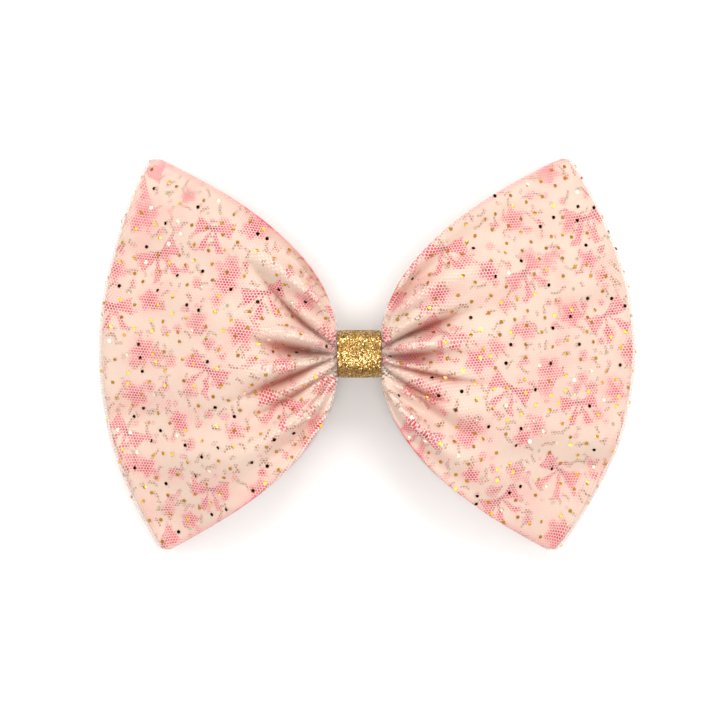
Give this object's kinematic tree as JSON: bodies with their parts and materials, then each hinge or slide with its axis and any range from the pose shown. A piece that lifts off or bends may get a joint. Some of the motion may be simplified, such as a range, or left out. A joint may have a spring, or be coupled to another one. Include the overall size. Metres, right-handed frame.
{
  "type": "hair bow",
  "caption": "Gathered loop bow of printed cloth under foil-dotted tulle, held by a glitter centre band and worn on a sprung alligator clip.",
  "frame": {"origin": "middle of the bow's outline seen from the front, on the surface that the bow lies on", "axes": "+Z out of the bow's front, +X towards the right loop, +Y towards the upper tips"},
  "size_m": [0.1282, 0.093, 0.0233],
  "materials": {
    "printed_cloth": "plain-weave cloth with a watercolour print of pink bows and flowers",
    "tulle": "fine hexagonal mesh with small gold foil dots",
    "thread": "twisted sewing thread",
    "gold_glitter": "fine gold glitter bonded to a cloth-backed strip",
    "hot_melt_glue": "cloudy set hot-melt glue",
    "grosgrain_ribbon": "ribbed grosgrain ribbon",
    "nickel_plated_steel": "stamped steel with bright nickel plate",
    "spring_wire": "drawn spring wire"
  },
  "bodies": {
    "bow": {"printed_fabric": "printed_cloth", "tulle_overlay": "tulle", "gathering_thread": "thread", "centre_band": "gold_glitter", "band_glue": "hot_melt_glue", "clip_glue": "hot_melt_glue", "clip_lining_ribbon": "grosgrain_ribbon", "clip_upper_jaw": "nickel_plated_steel", "clip_hinge_pin": "nickel_plated_steel", "clip_spring": "spring_wire"},
    "toothed_jaw": {"clip_lower_jaw": "nickel_plated_steel"}
  },
  "joints": [
    {"name": "jaw_hinge", "type": "hinge", "parent": "bow", "child": "toothed_jaw", "pos_m": [-0.0096, 0, 0.00396], "axis": [0, 1, 0], "range_deg": [0, 20], "stiffness_Nm_per_rad": 0.04, "springref_deg": -57.3, "deforming": ["clip_spring"]}
  ]
}
